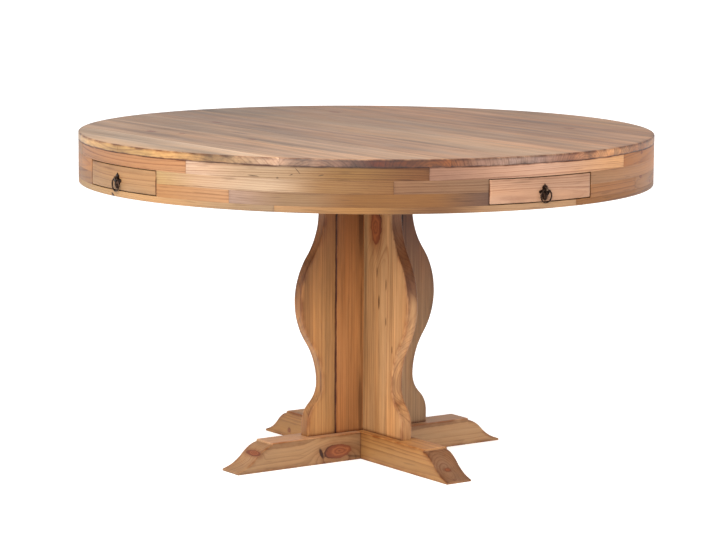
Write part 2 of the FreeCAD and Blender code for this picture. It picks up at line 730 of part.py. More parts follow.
def makePull(number, turn):
    name = f"pull_{number}_"
    front = f"({tableRadius} + plateThickness)"
    eye = f"({tableRadius} + eyeReach)"

    plate = newBody(name + "plate", turn)
    sketch = newSketch(plate, "XZ_Plane", tableRadius)
    outline(sketch, plateCorners())
    pad(sketch, "plateThickness")
    sketch = newSketch(plate, "YZ_Plane")
    middle = f"({eyeHeight} - domeDrop)"
    outline(sketch, [
        (f"-{front}", middle),
        (f"-{front}", f"{middle} + domeRadius"),
        (f"-{front} - domeHeight", f"{middle} + domeCrown"),
        (f"-{front} - domeHeight", middle),
    ])
    revolveAcross(sketch, middle)
    sketch = newSketch(plate, "XZ_Plane")
    circles(sketch, [("0", eyeHeight)], "postRadius + postFit")
    pocket(sketch)
    keep(plate)

    post = newBody(name + "post", turn)
    sketch = newSketch(post, "XY_Plane", eyeHeight)
    nutFace = f"({faceInner} - nutThickness)"
    outline(sketch, [
        ("0", f"-{nutFace} + postTail"),
        ("0", f"-{eye} + eyeHole"),
        ("postRadius", f"-{eye} + eyeHole"),
        ("postRadius", f"-{front} - collarHeight"),
        ("collarRadius", f"-{front} - collarHeight"),
        ("collarRadius", f"-{front}"),
        ("postRadius", f"-{front}"),
        ("postRadius", f"-{nutFace} + postTail"),
    ])
    revolve(sketch, "V_Axis")
    sketch = newSketch(post, "YZ_Plane")
    circles(sketch, [(f"-{eye}", eyeHeight)], "eyeRadius")
    circles(sketch, [(f"-{eye}", eyeHeight)], "eyeHole")
    pad(sketch, "eyeWidth", symmetric=True)
    sketch = newSketch(post, "XZ_Plane", nutFace)
    hexagon(sketch, ("0", eyeHeight), "nutAcross")
    circles(sketch, [("0", eyeHeight)], "postRadius + screwFit")
    pad(sketch, "nutThickness")
    keep(post)

    ring = newBody(name + "ring", turn)
    sketch = newSketch(ring, "YZ_Plane")
    rectangle(sketch, f"-{eye} - ringBar / 2", f"{eyeHeight} - ringBar / 2",
              f"-{eye} + ringBar / 2", f"{eyeHeight} + ringBar / 2")
    revolveAcross(sketch, f"({eyeHeight} - ringRadius)")
    keep(ring)


makeTop()
makeApron()
makeFrame()
makePedestal()
makeFasteners()
for number in range(1, 5):
    makeDrawer(number, 90 - 90 * number)
    makePull(number, 90 - 90 * number)
doc.recompute()

faults = [thing.Name for thing in doc.Objects if {"Invalid", "Error"} & set(thing.State)]
faults += [thing.Label for thing in subparts if thing.Shape.isNull() or not thing.Shape.isValid()]
if faults:
    raise RuntimeError("failed: " + ", ".join(faults))

os.makedirs("parts", exist_ok=True)
for thing in subparts:
    thing.Shape.exportStep(f"parts/{thing.Label}.step")
    print(thing.Label, len(thing.Shape.Solids), round(thing.Shape.Volume))
print(len(subparts), "nodes")
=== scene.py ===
import math
from functools import partial

import bmesh
import bpy
from mathutils import Matrix, Vector, noise


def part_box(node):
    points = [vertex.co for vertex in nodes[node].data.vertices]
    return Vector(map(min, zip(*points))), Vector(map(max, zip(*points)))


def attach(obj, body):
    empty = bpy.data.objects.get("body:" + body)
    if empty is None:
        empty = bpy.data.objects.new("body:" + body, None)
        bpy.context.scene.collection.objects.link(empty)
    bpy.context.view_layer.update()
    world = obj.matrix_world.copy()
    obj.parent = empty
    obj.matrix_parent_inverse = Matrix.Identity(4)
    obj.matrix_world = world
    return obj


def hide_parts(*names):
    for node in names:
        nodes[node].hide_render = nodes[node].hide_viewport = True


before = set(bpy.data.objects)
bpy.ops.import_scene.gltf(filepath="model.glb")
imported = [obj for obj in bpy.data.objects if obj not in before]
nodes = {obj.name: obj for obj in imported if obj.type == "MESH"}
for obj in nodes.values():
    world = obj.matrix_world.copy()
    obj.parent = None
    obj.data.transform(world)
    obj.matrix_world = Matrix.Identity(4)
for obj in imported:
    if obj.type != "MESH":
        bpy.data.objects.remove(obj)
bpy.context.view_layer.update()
scene = bpy.context.scene
mm = 0.001
print("frame loaded:", len(nodes), "nodes")


def linear(hexColour):  # an sRGB hex colour as linear light
    parts = [int(hexColour[at:at + 2], 16) / 255 for at in (0, 2, 4)]
    return tuple(part / 12.92 if part <= 0.04045 else ((part + 0.055) / 1.055) ** 2.4
                 for part in parts) + (1,)


def blend(one, other, share):
    return tuple(a + (b - a) * share for a, b in zip(one, other))


def smooth(value):  # 0 to 1 with soft ends
    value = min(max(value, 0), 1)
    return value * value * (3 - 2 * value)


def unevenness(a, b, c):  # 0 to 1, for nicks and soft spots
    return 0.5 + 0.5 * noise.noise(Vector((a, b, c)))


def unit(seed):  # a steady value from 0 to 1 for each seed
    return unevenness(seed * 1.37 + 0.5, seed * 0.71 + 3.3, 9.1)


def setInputs(tree, node, inputs):  # each input gets a link from a node or socket, or a value
    for key, value in inputs.items():
        if isinstance(value, bpy.types.Node):
            value = value.outputs[0]
        if isinstance(value, bpy.types.NodeSocket):
            tree.links.new(value, node.inputs[key])
        else:
            node.inputs[key].default_value = value


def addNode(tree, kind, inputs=(), **settings):  # inputs come in order, or by their names or numbers
    node = tree.nodes.new("ShaderNode" + kind)
    for key, value in settings.items():
        setattr(node, key, value)
    setInputs(tree, node, inputs if isinstance(inputs, dict) else dict(enumerate(inputs)))
    return node


def setStops(node, stops):  # a colour ramp's positions, rising, each with a hex colour or a grey level
    places, elements = list(stops), node.color_ramp.elements
    elements[0].position, elements[1].position = places[0], places[-1]
    for position in places[1:-1]:
        elements.new(position)
    for element, colour in zip(elements, stops.values()):
        element.color = linear(colour) if isinstance(colour, str) else (colour, colour, colour, 1)


def newMaterial(name, **surface):  # a material, its tree and its Principled shader with constant values set
    material = bpy.data.materials.new(name)
    material.use_nodes = True
    tree = material.node_tree
    shader = [node for node in tree.nodes if node.type == "BSDF_PRINCIPLED"][0]
    setInputs(tree, shader, surface)
    return material, tree, shader


# A board is a local frame for the wood's figure: across its face, along the grain, and into its depth.
# A bent board follows the table's rim, so that long lines run round with it.
boards = {}
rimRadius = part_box("apron_top_course")[1].x


def newBoard(name, centre, along, across, tints, pith, bent=False):
    along = Vector(along).normalized()
    across = Vector(across).normalized()
    tints = [linear(tint) for tint in tints.split()]
    boards[name] = {
        "centre": Vector(centre), "along": along, "across": across, "depth": along.cross(across),
        "tints": tints, "pith": pith, "shift": 3.7 * (len(boards) + 1), "bent": bent,
    }
    return boards[name]


def grainPlace(board, point):  # a point in the board's own frame: across, along, deep
    offset = point - board["centre"]
    if board["bent"]:
        middle = math.atan2(board["centre"].x, -board["centre"].y)
        turn = (math.atan2(point.x, -point.y) - middle + math.pi) % (2 * math.pi) - math.pi
        radius = math.hypot(point.x, point.y)
        along = rimRadius * turn
        depth = rimRadius - radius + 0.12 * rimRadius * (1 - math.cos(turn))
    else:
        along = offset.dot(board["along"])
        depth = offset.dot(board["depth"])
    return Vector((offset.dot(board["across"]) + board["pith"][0] * mm, along + board["shift"],
                   depth + board["pith"][1] * mm))


# How wear fades from an arris over a face: its reach, at most this share of the face, and what is left.
wearFade = ((2.5 * mm, 0.2, 0.55), (9 * mm, 0.36, 0.1))


def section(low, high, radii, steps=4):
    # A rounded rectangle as points (a, b, wear). Its corners run low-low, high-low, high-high, low-high.
    loop = []
    corners = [(low[0], low[1]), (high[0], low[1]), (high[0], high[1]), (low[0], high[1])]
    for index, corner in enumerate(corners):
        radius = radii[index]
        centre = (corner[0] + (radius if index in (0, 3) else -radius),
                  corner[1] + (radius if index in (0, 1) else -radius))
        for step in range(steps + 1):
            turn = math.radians(180 + 90 * index + 90 / steps * step)
            loop.append((centre[0] + radius * math.cos(turn), centre[1] + radius * math.sin(turn), 1.0))
        following = corners[(index + 1) % 4]
        run = (following[0] - corner[0], following[1] - corner[1])
        length = math.hypot(*run)
        start = loop[-1]
        flat = length - radius - radii[(index + 1) % 4]
        near = [(min(reach, flat * share), worn) for reach, share, worn in wearFade]
        for reach, worn in near + [(flat / 2, 0.0)] + [(flat - reach, worn) for reach, worn in near[::-1]]:
            loop.append((start[0] + run[0] / length * reach, start[1] + run[1] / length * reach, worn))
    return loop


def loftMesh(name, shells, closed=False):
    # A mesh of shells, each a list of rings of points, and the numbers of its flat end faces.
    points, faces, ends = [], [], set()
    for rings in shells:
        base, rows, count = len(points), len(rings), len(rings[0])
        points += [point for ring in rings for point in ring]
        for row in range(rows if closed else rows - 1):
            here, following = base + row * count, base + (row + 1) % rows * count
            for place in range(count):
                beside = (place + 1) % count
                faces.append((here + place, here + beside, following + beside, following + place))
        if not closed:
            ends |= {len(faces), len(faces) + 1}
            faces.append(tuple(reversed(range(base, base + count))))
            faces.append(tuple(range(len(points) - count, len(points))))
    mesh = bpy.data.meshes.new(name)
    mesh.from_pydata(points, [], faces)
    return mesh, ends


def addPiece(name, mesh, flatFaces, material, body, replaced):
    work = bmesh.new()
    work.from_mesh(mesh)
    bmesh.ops.recalc_face_normals(work, faces=work.faces)
    for index, face in enumerate(work.faces):
        face.smooth = index not in flatFaces
    work.to_mesh(mesh)
    work.free()
    mesh.set_sharp_from_angle(angle=math.radians(38))
    mesh.materials.append(material)
    piece = bpy.data.objects.new(name, mesh)
    scene.collection.objects.link(piece)
    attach(piece, body)
    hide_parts(*replaced)


def buildPiece(name, shells, material, body, replaced):
    # One wooden object. A shell is (board, stations), a station a ring of (point, wear, tint),
    # with the board's own tint where a point gives none.
    mesh, ends = loftMesh(name, [[[point for point, wear, own in station] for station in stations]
                                 for board, stations in shells])
    grain, worn, tint = [], [], []
    for board, stations in shells:
        for point, wear, own in (spot for station in stations for spot in station):
            grain.extend(grainPlace(board, point))
            worn.append(wear)
            tint.extend(own or board["tints"][0])
    for label, kind, field, values in (("grain", "FLOAT_VECTOR", "vector", grain),
                                       ("wear", "FLOAT", "value", worn),
                                       ("tint", "FLOAT_COLOR", "color", tint)):
        mesh.attributes.new(label, kind, "POINT").data.foreach_set(field, values)
    addPiece(name, mesh, ends, material, body, replaced)


# Reclaimed pine, brushed, stained and waxed: a satin skin, soft pale earlywood and dark latewood lines.
pineLook = {
    "ringWidth": 4.4 * mm,      # a year's growth, wider than the real 2 to 3 mm so that it shows
    "lateTint": "9a6c48",       # what the latewood does to the colour
    "lateStrength": 0.85,
    "lateCurve": {0: 0.14, 0.14: 0.0, 0.5: 0.14, 0.76: 0.6, 0.9: 1.0, 1: 0.1},  # how dark through a year
    "sway": 20 * mm,            # how far the rings wander along a board
    "ripple": 1.3 * mm,
    "tremble": 0.7 * mm,
    "streaks": 0.42,
    "streakWidth": 10 * mm,
    "mottle": 0.44,
    "fibres": 0.30,
    "flecks": 0.25,             # dark resin flecks
    "fleckTint": "6b4226",
    "warmTint": "f4d3a2",
    "coolTint": "ece6e2",
    "edgeTint": "8f6a4c",       # rubbed and dirty arrises
    "dirtTint": "6a3f22",       # wax and dust in the seams
    "roughness": 0.5,
    "gloss": 0.3,
    "knotTints": {0: "68321b", 0.3: "5a2c18", 0.45: "8a4c2a", 0.6: "68321b", 0.75: "8e502d",
                  0.88: "743c21", 1: "68321b"},     # the rings of a knot, outwards
    "knotRimTint": "2e180e",    # its bark
    "haloTint": "b4774c",       # resin in the wood round it
    "splitAndShadeTint": "4f2c16",
}


def knotAt(board, at, across, along, deep=30, lean=(0, 0.1)):  # half sizes in millimetres; its heart leans
    return {"board": board, "at": at, "size": (across, along, deep), "lean": lean}


def markAt(board, at, wide, long, turn=0, dark=0.8):  # a dark mark turned in its face: short splits and scratches, and on core_x long bands of painted shade
    return {"board": board, "at": at, "size": (wide, long, 14), "turn": turn, "dark": dark}


def pine(name, changes=None, knots=(), marks=()):
    look = dict(pineLook, **(changes or {}))
    material, tree, shader = newMaterial(name, **{"IOR": 1.5, "Specular IOR Level": look["gloss"]})
    add = partial(addNode, tree)
    multiply = {"data_type": "RGBA", "blend_type": "MULTIPLY"}
    soft = {"interpolation_type": "SMOOTHSTEP"}
    axis = look.get("axis")
    if axis:  # a piece without its own figure attributes: the grain follows an axis of the part
        place = add("TexCoord").outputs["Object"]
        if axis == "either":  # battens beside the drawers run outwards
            parts = add("SeparateXYZ", [place]).outputs
            reaches = [add("Math", [part], operation="ABSOLUTE") for part in parts[:2]]
            turned = add("Math", reaches, operation="GREATER_THAN")
            swapped = add("CombineXYZ", [parts[1], parts[0], parts[2]])
            place = add("Mix", {0: turned, 4: place, 5: swapped}, data_type="VECTOR").outputs[1]
        elif axis == "X":
            place = add("Mapping", {0: place, 2: (0, 0, math.radians(90))})
        grain = add("VectorMath", [place, (0.043, 0.31, -0.6)], operation="ADD")
        tint = linear(look["tint"])
        wear = 0.0
    else:
        grain = add("Attribute", attribute_name="grain").outputs["Vector"]
        tint = add("Attribute", attribute_name="tint").outputs["Color"]
        wear = add("Attribute", attribute_name="wear").outputs["Fac"]

    def cloud(along, perMetre, detail=2.0, rough=0.5):  # soft patches across the grain, drawn out along it
        drawn = add("VectorMath", [grain, (1, along, 1)], operation="MULTIPLY")
        return add("TexNoise", {"Vector": drawn, "Scale": perMetre, "Detail": detail, "Roughness": rough})

    def varied(value, *patterns):  # a value with each pattern added at its own strength
        for pattern, much in patterns:
            value = add("Math", [pattern, much, value], operation="MULTIPLY_ADD")
        return value

    def awayFrom(spot, turn=None):  # from a knot or mark, counted in its own half sizes
        there = grainPlace(boards[spot["board"]], Vector(spot["at"]) * mm)
        away = add("VectorMath", [grain, there], operation="SUBTRACT")
        if turn is not None:
            away = add("VectorRotate", {"Vector": away, "Angle": math.radians(turn)}, rotation_type="Z_AXIS")
        return add("VectorMath", [away, [1 / size / mm for size in spot["size"]]], operation="MULTIPLY")

    # how far from the pith, with the rings' wander along the board
    flat = add("VectorMath", [grain, (1, 0, 1)], operation="MULTIPLY")
    distance = add("VectorMath", [flat], operation="LENGTH").outputs["Value"]
    distance = varied(distance, (cloud(0.11, 9.0), look["sway"]),  # bends of 110 mm
                      (cloud(0.12, 60.0), look["ripple"]),  # of 17 mm
                      (cloud(0.3, 320.0), look["tremble"]))  # and of 3 mm

    # knots: the rings flow round each one, and its dark bark shows on the side that it leans from
    nearest, leaning = None, None
    for knot in knots:
        away = awayFrom(knot)
        reach = add("VectorMath", [away], operation="LENGTH").outputs["Value"]
        lean = add("VectorMath", [away, knot["lean"] + (0,)], operation="DISTANCE").outputs["Value"]
        push = add("MapRange", [reach, 0.3, 3.0, knot["size"][0] * 0.9 * mm, 0.0],
                   interpolation_type="SMOOTHERSTEP")
        distance = add("Math", [distance, push], operation="ADD")
        nearest = reach if nearest is None else add("Math", [nearest, reach], operation="MINIMUM")
        leaning = lean if leaning is None else add("Math", [leaning, lean], operation="MINIMUM")

    # years: pale earlywood darkens slowly, then ends sharply after the latewood
    years = add("Math", [distance, look["ringWidth"]], operation="DIVIDE")
    weather = add("TexNoise", {"W": years, "Scale": 0.31, "Detail": 2.0}, noise_dimensions="1D")
    years = varied(years, (weather, 2.4))
    year = add("Math", [years], operation="FLOOR")
    chance = add("TexWhiteNoise", {"W": year}, noise_dimensions="1D").outputs["Value"]
    late = add("ValToRGB", [add("Math", [years], operation="FRACT")])
    setStops(late, look["lateCurve"])
    patchy = add("MapRange", [cloud(0.1, 14.0), 0.3, 0.7, 0.45, 1.15])  # the stain takes unevenly, over 70 mm
    strength = add("MapRange", [chance, 0.0, 1.0, 0.3 * look["lateStrength"], look["lateStrength"]])
    share = add("Math", [strength, patchy], operation="MULTIPLY")
    lateness = add("Math", [late, share], operation="MULTIPLY")

    # streaks, mottling of 125 mm and fibres of 1 mm along the grain
    fibres = cloud(0.03, 900.0, 2.0, 0.6)
    shade = varied(1 - look["streaks"] / 2,
                   (cloud(0.03, 0.95 / look["streakWidth"], 4.0, 0.7), look["streaks"]),
                   (cloud(0.2, 8.0, 3.0, 0.55), look["mottle"]), (fibres, look["fibres"]))
    shade = add("Math", [shade, look["mottle"] / 2 + look["fibres"] / 2], operation="SUBTRACT")
    colour = add("Mix", {0: lateness, 6: tint, 7: linear(look["lateTint"])}, **multiply).outputs[2]
    tone = add("MapRange", [cloud(0.1, 17.0), 0.36, 0.64])  # warm and cool patches of 60 mm
    cast = add("Mix", {0: tone, 6: linear(look["warmTint"]), 7: linear(look["coolTint"])}, data_type="RGBA")
    colour = add("Mix", {0: 0.5, 6: colour, 7: cast.outputs[2]}, **multiply).outputs[2]
    colour = add("VectorMath", {0: colour, "Scale": shade}, operation="SCALE")

    # what lies over that wood: how it is mixed in, how much and its colour
    flecks = add("MapRange", [cloud(0.08, 190.0, 0.0), 0.70, 0.79, 0.0, look["flecks"]])  # 5 mm wide
    layers = [("MULTIPLY", flecks, linear(look["fleckTint"]))]
    if knots:
        uneven = add("Math", [cloud(0.8, 75.0, 3.0), 0.5], operation="MULTIPLY")  # outlines wave over 13 mm
        wavy = add("Math", [uneven, nearest], operation="ADD")
        bark = add("Math", [uneven, leaning], operation="ADD")
        heart = add("ValToRGB", [bark])
        setStops(heart, look["knotTints"])
        halo = add("MapRange", [wavy, 1.15, 2.2, 0.45, 0.0], **soft)
        inside = add("MapRange", [wavy, 1.12, 1.26, 0.9, 0.0], **soft)
        outer = add("MapRange", [bark, 1.12, 1.28])
        crescent = add("Math", [inside, outer], operation="MULTIPLY")
        layers += [("MULTIPLY", halo, linear(look["haloTint"])), ("MIX", inside, heart),
                   ("MIX", crescent, linear(look["knotRimTint"]))]
    # marks: dark splits and scratches, and bands of painted shade
    for mark in marks:
        reach = add("VectorMath", [awayFrom(mark, mark["turn"])], operation="LENGTH").outputs["Value"]
        splitAndShadeShare = add("MapRange", [reach, 0.5, 1.0, mark["dark"], 0.0], **soft)
        layers.append(("MULTIPLY", splitAndShadeShare, linear(look["splitAndShadeTint"])))

    # arrises: rubbed darker in patches of 24 mm, with broken lines of dirt where the wear value goes over one
    patches = add("MapRange", [cloud(0.6, 42.0, 3.0), 0.32, 0.6])
    rubbed = add("Math", [patches, add("Clamp", [wear])], operation="MULTIPLY")
    broken = add("MapRange", [cloud(0.5, 9.0, 3.0), 0.35, 0.6, 0.35, 1.0])
    dirt = add("Math", [add("MapRange", [wear, 1.0, 2.0]), broken], operation="MULTIPLY")
    layers += [("MULTIPLY", rubbed, linear(look["edgeTint"])), ("MULTIPLY", dirt, linear(look["dirtTint"]))]
    for mixing, share, over in layers:
        colour = add("Mix", {0: share, 6: colour, 7: over}, data_type="RGBA", blend_type=mixing).outputs[2]

    gloss = varied(look["roughness"] - 0.08, (fibres, 0.16))  # either pattern lies about its middle
    gloss = add("Math", [gloss, 0.07], operation="SUBTRACT")
    gloss = varied(gloss, (cloud(0.3, 25.0), 0.14), (lateness, -0.06))  # wax in patches of 40 mm
    height = varied(lateness, (fibres, 0.5), (flecks, -2.0))
    bump = add("Bump", {"Strength": 0.4, "Distance": 0.35 * mm, "Height": height})
    setInputs(tree, shader, {"Base Color": colour, "Roughness": gloss, "Normal": bump})
    return material


# The top: nine planks cut to one disc.
top = {
    "face": "ae9276 a78669 9e7e62 9b795e 9e7f63 9d795b a47956 a87c59 aa7f59".split(),
    "rim": "be9b65 8d7565 431701 6f4017 917b72 855d47 c08b59 925923 966b38 9a673c".split(),  # at the seams
    "pith": [(30, -40), (24, -30), (-34, -26), (120, -30), (-110, -18), (26, -36), (-30, -44),
             (40, -30), (20, -38)],
    "arris": 2.6 * mm,      # rounding of the rim
    "seamEase": 0.1 * mm,
    "uneven": 0.35 * mm,
    "nick": 0.5 * mm,
    "tip": 0.0004 * mm,     # how far the outer planks' tips stay inside the disc
    "paintedLightSlope": 0.3,            # painted light: how much brighter the top is painted towards the front left, and darker towards the back
    "across": 14,           # columns over a plank
    "outerAcross": 40,
    "along": 72,
}
topLow, topHigh = (corner.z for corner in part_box("top_plank_5"))


def rimPlace(x, inset, tipShare):  # where a column at x meets the rim, set in by some depth
    shifted = x - math.copysign(inset * abs(x) / rimRadius * tipShare, x)
    return shifted, math.sqrt(max((rimRadius - inset) ** 2 - shifted ** 2, 0))


# Painted light: the tint grows brighter towards the front left and darker towards the back of the top.
def paintedLightFade(tint, x, y):
    pale = math.exp(-top["paintedLightSlope"] * (0.57 * x + 0.82 * y) / rimRadius)
    return [part * pale for part in tint]


def plankStations(index, low, high):
    faceTint = boards[f"top_plank_{index + 1}"]["tints"][0]
    outer = index in (0, 8)
    count = top["outerAcross"] if outer else top["across"]
    shares = [step / count for step in range(count + 1)]
    if index == 0:
        shares = [share ** 2 for share in shares]
    if index == 8:
        shares = [1 - (1 - share) ** 2 for share in shares]
    columns = [low + (high - low) * share for share in shares]
    seams = [edge for edge in (low, high) if abs(edge) < rimRadius - mm]
    for edge in seams:
        inward = 1 if edge == low else -1
        columns += [edge + inward * 0.5 * mm, edge + inward * 2 * mm]
    arris = top["arris"]
    edgeTints = [linear(tint) for tint in top["rim"][index:index + 2]]  # at the plank's two seams
    profile = []
    for step in range(1, 5):
        turn = math.radians(22.5 * step)
        profile.append((arris * (1 - math.sin(turn)), topHigh - arris * (1 - math.cos(turn)), 0.9))
    profile += [(0, topHigh - arris - 2 * mm, 0.4), (0, topHigh - arris - 5 * mm, 0.1),
                (0, topLow + 2.5 * mm, 0.3), (0, topLow + 1 * mm, 1.3), (0.5 * mm, topLow, 2.0)]
    stations = []
    for x in sorted(columns):
        tipShare = abs(x - (high if index == 0 else low)) / (high - low) if outer else 0.0
        fromSeam = min([abs(x - edge) for edge in seams])
        dip = top["seamEase"] * max(0.0, 1 - fromSeam / (0.9 * mm)) ** 2
        seamWear = 0.5 * max(0.0, 1 - fromSeam / (2 * mm))
        ring = []
        flatX, flatY = rimPlace(x, arris, tipShare)
        for step in range(top["along"] + 1):
            y = -flatY + 2 * flatY * step / top["along"]
            worn = max(seamWear, 0.5 * max(0.0, 1 - (flatY - abs(y)) / (9 * mm)))
            calm = min(1.0, (flatY - abs(y)) / (30 * mm))
            sunk = dip + top["uneven"] * unevenness(flatX * 9, y * 3, index * 5.1) * calm
            ring.append((Vector((flatX, y, topHigh - sunk)), worn, paintedLightFade(faceTint, flatX, y)))
        right, left = [], []
        edgeTint = blend(*edgeTints, (x - low) / (high - low))
        for inset, z, worn in profile:
            spotX, spotY = rimPlace(x, inset, tipShare)
            nick = top["nick"] * min(worn, 1) * unevenness(x * 40, spotY * 40, 2.0) ** 2
            spotY = max(spotY - nick, 0)
            for side, ends in ((1, right), (-1, left)):
                own = blend(paintedLightFade(faceTint, spotX, side * spotY), edgeTint, smooth((topHigh - z) / arris))
                ends.append((Vector((spotX, side * spotY, z)), max(worn, seamWear), own))
        underX, underY = rimPlace(x, 0.8 * mm, tipShare)
        below = [(Vector((underX, underY * (1 - step / 4), topLow)), seamWear, None) for step in range(1, 8)]
        stations.append(ring + right + below + left[::-1])
    return stations


topKnots = [knotAt(f"top_plank_{plank}", (x, y, 762), across, along) for plank, x, y, across, along in (
    (2, -440, 226, 9, 14), (2, -404, 150, 6, 9), (4, -193, 340, 8, 16), (6, 203, 424, 7, 18),
    (3, -345, -52, 6, 10), (8, 430, -210, 8, 13))]
topMarks = [markAt(f"top_plank_{plank}", (x, y, 762), wide, long, 0, dark)
            for plank, x, y, wide, long, dark in (
                (5, 98, 422, 9, 60, 0.5), (3, -290, 85, 8, 50, 0.45), (4, -150, 200, 10, 70, 0.35))]
plankShells = []
for index in range(9):
    nodeName = f"top_plank_{index + 1}"
    low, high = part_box(nodeName)
    first = -rimRadius + top["tip"] if index == 0 else low.x
    last = rimRadius - top["tip"] if index == 8 else high.x
    board = newBoard(nodeName, ((low.x + high.x) / 2, 0, (topLow + topHigh) / 2), (0, 1, 0), (1, 0, 0),
                     top["face"][index], top["pith"][index])
    plankShells.append((board, plankStations(index, first, last)))
pineTop = pine("waxedPineTop", {"streaks": 2.1, "streakWidth": 28 * mm, "mottle": 1.5, "roughness": 0.45,
                                "gloss": 0.5, "sway": 30 * mm, "ringWidth": 6 * mm}, topKnots, topMarks)
for index, shell in enumerate(plankShells):
    buildPiece(f"plank_{index + 1}", [shell], pineTop, "table", [f"top_plank_{index + 1}"])
print("top built")


# The apron: four courses of sawn blocks. A block's tints run along it, from its start to its finish.
apron = {
    "wall": 35 * mm,
    "gap": 2.5 * mm,        # beside a drawer's face
    "uneven": 0.3 * mm,     # how far a block may stand back from the rim's line
    "nick": 0.35 * mm,
    "step": 11 * mm,
}
apronInner = rimRadius - apron["wall"]
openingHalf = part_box("drawer_1_face")[1].x + apron["gap"]


def joint(degrees):  # a sawn end that points at the middle of the table
    return lambda radius: degrees


def opening(middle, side):  # an end beside a drawer, parallel to its slide
    return lambda radius: middle + side * math.degrees(math.asin(openingHalf / radius))


def quarterBlocks(turn, tints):  # the two blocks of a middle course between two drawers
    blocks = []
    for quarter in range(4):
        middle = 90 * quarter
        blocks.append((opening(middle, 1), joint(middle + turn), tints[2 * quarter]))
        blocks.append((joint(middle + turn), opening(middle + 90, -1), tints[2 * quarter + 1]))
    return blocks


def ringBlocks(turns, tints):
    return [(joint(turn), joint(following), tint)
            for turn, following, tint in zip(turns, turns[1:] + [turns[0] + 360], tints)]


courses = {
    "top": {
        "blocks": ringBlocks(
            [-23.5, 23.5, 70.5, 109.5, 156.5, 203.5, 250.5, 289.5],
            ["816355 b69078 cd9a68", "a26938 9a6334", "916c43", "8d6842", "97744b", "8c6846", "997253 a07a5a",
             "b29c8d 92816e 745730 654021"]),
        "pith": {7: (44, 30), 0: (60, 40), 6: (-50, 40), 1: (14, 30)},
        "radii": (0.3, 0.12, 0.5, 0.3),
    },
    "upper": {
        "blocks": quarterBlocks(60, ["946f4f b17744", "a2744a", "9f774e", "99724c", "a17a54", "926943 9f7246",
                                     "9e855e a58b72 a28d76 7a5a35 724f2b", "74563e 785c46"]),
        "pith": {6: (70, 40), 7: (40, 30), 0: (-60, 50)},
        "radii": (0.3, 0.12, 0.12, 0.3),
    },
    "lower": {
        "blocks": quarterBlocks(29, ["96663c", "906239", "9e764b", "966f49", "9d754e", "8c6644",
                                     "9e734a 9c7756", "907b71 7a644c 6e4b23 724e28 5b4336"]),
        "pith": {7: (-80, 30), 6: (30, 40), 0: (50, 40)},
        "radii": (0.3, 0.12, 0.12, 0.3),
    },
    "bottom": {
        "blocks": ringBlocks([8, 68, 128, 188, 248, 308],
                             ["865c31 754b22", "9d7449", "a2794f", "997247", "997b51 a7855e 856d53",
                              "907353 866033 6a482a 9f7d5c a68360"]),
        "pith": {5: (60, 40), 4: (-70, 40), 0: (40, 50)},
        "radii": (1.0, 1.8, 0.15, 0.3),
    },
}
apronKnots = [knotAt("top_1", (356.7, -555.3, 741), 4, 6), knotAt("lower_1", (353.7, -557.2, 687), 3.5, 7),
              knotAt("lower_1", (420, -508, 668), 3, 6)]
apronMarks = [
    markAt("top_7", (-547, -369, 722), 1.3, 16, -5),
    markAt("top_7", (-487, -445.5, 735.5), 1.1, 11, -48),
    markAt("top_7", (-496, -435, 727), 1.2, 5, 20),
    markAt("top_7", (-452, -481, 727.5), 1.5, 8, 12, 0.6),
    markAt("top_7", (-515.5, -412, 719.5), 2.4, 3.5, dark=0.6),
    markAt("bottom_4", (-659.6, 21.6, 650), 4.5, 10, -30, 0.95),
]


def blockStations(board, block, low, high, radii, seed, darkTopSeam):
    start, finish, _ = block
    outer = rimRadius - apron["uneven"] * unit(seed)
    length = math.radians(finish(rimRadius) - start(rimRadius)) * rimRadius
    count = max(4, round(length / apron["step"]))
    nearEnd = [(0.08 * mm / length, 0.3 * mm, 0.9), (0.4 * mm / length, 0.06 * mm, 0.7),
               (1.2 * mm / length, 0, 0.4), (6 * mm / length, 0, 0.1)]  # share along, how far set in, wear
    places = nearEnd + [(step / count, 0, 0) for step in range(1, count)]
    places += [(1 - share, inset, worn) for share, inset, worn in nearEnd[::-1]]
    tints = board["tints"]
    stations = []
    for share, inset, worn in places:
        ring = []
        step = min(share * (len(tints) - 1), len(tints) - 1.001) if len(tints) > 1 else 0
        own = blend(tints[int(step)], tints[int(step) + 1], smooth(step % 1)) if len(tints) > 1 else tints[0]
        outline = section((apronInner + inset, low + inset), (outer - inset, high - inset),
                          [radius * mm for radius in radii])
        for radius, z, wear in outline:
            turn = math.radians(start(radius) + (finish(radius) - start(radius)) * share)
            nick = apron["nick"] * wear * unevenness(turn * 90, z * 60, seed) ** 2
            reach = radius - nick if radius > outer - 3 * mm else radius
            worst = max(0.15 * wear, 0.5 * worn)
            # the top course's upper 1.2 mm gets the dark seam tint: a dark line under the top
            if darkTopSeam and z > high - 1.2 * mm:
                worst = 1.7
            ring.append((Vector((reach * math.sin(turn), -reach * math.cos(turn), z)), worst, own))
        stations.append(ring)
    return stations


courseShells = {}
for course, details in courses.items():
    low, high = (corner.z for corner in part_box(f"apron_{course}_course"))
    courseShells[course] = []
    for index, block in enumerate(details["blocks"]):
        middle = math.radians((block[0](rimRadius) + block[1](rimRadius)) / 2)
        outward = Vector((math.sin(middle), -math.cos(middle), 0))
        seed = len(boards) + 1
        pith = details["pith"].get(index, (80 * (unit(seed) - 0.5), 30 + 30 * unit(seed + 7)))
        board = newBoard(f"{course}_{index}", outward * rimRadius + Vector((0, 0, (low + high) / 2)),
                         (math.cos(middle), math.sin(middle), 0), (0, 0, 1), block[2], pith, bent=True)
        stations = blockStations(board, block, low, high, details["radii"], seed, course == "top")
        courseShells[course].append((board, stations))
pineApron = pine("waxedPineApron", {"mottle": 0.34}, apronKnots, apronMarks)
for course, shells in courseShells.items():
    buildPiece(f"course_{course}", shells, pineApron, "table", [f"apron_{course}_course"])
print("apron built")


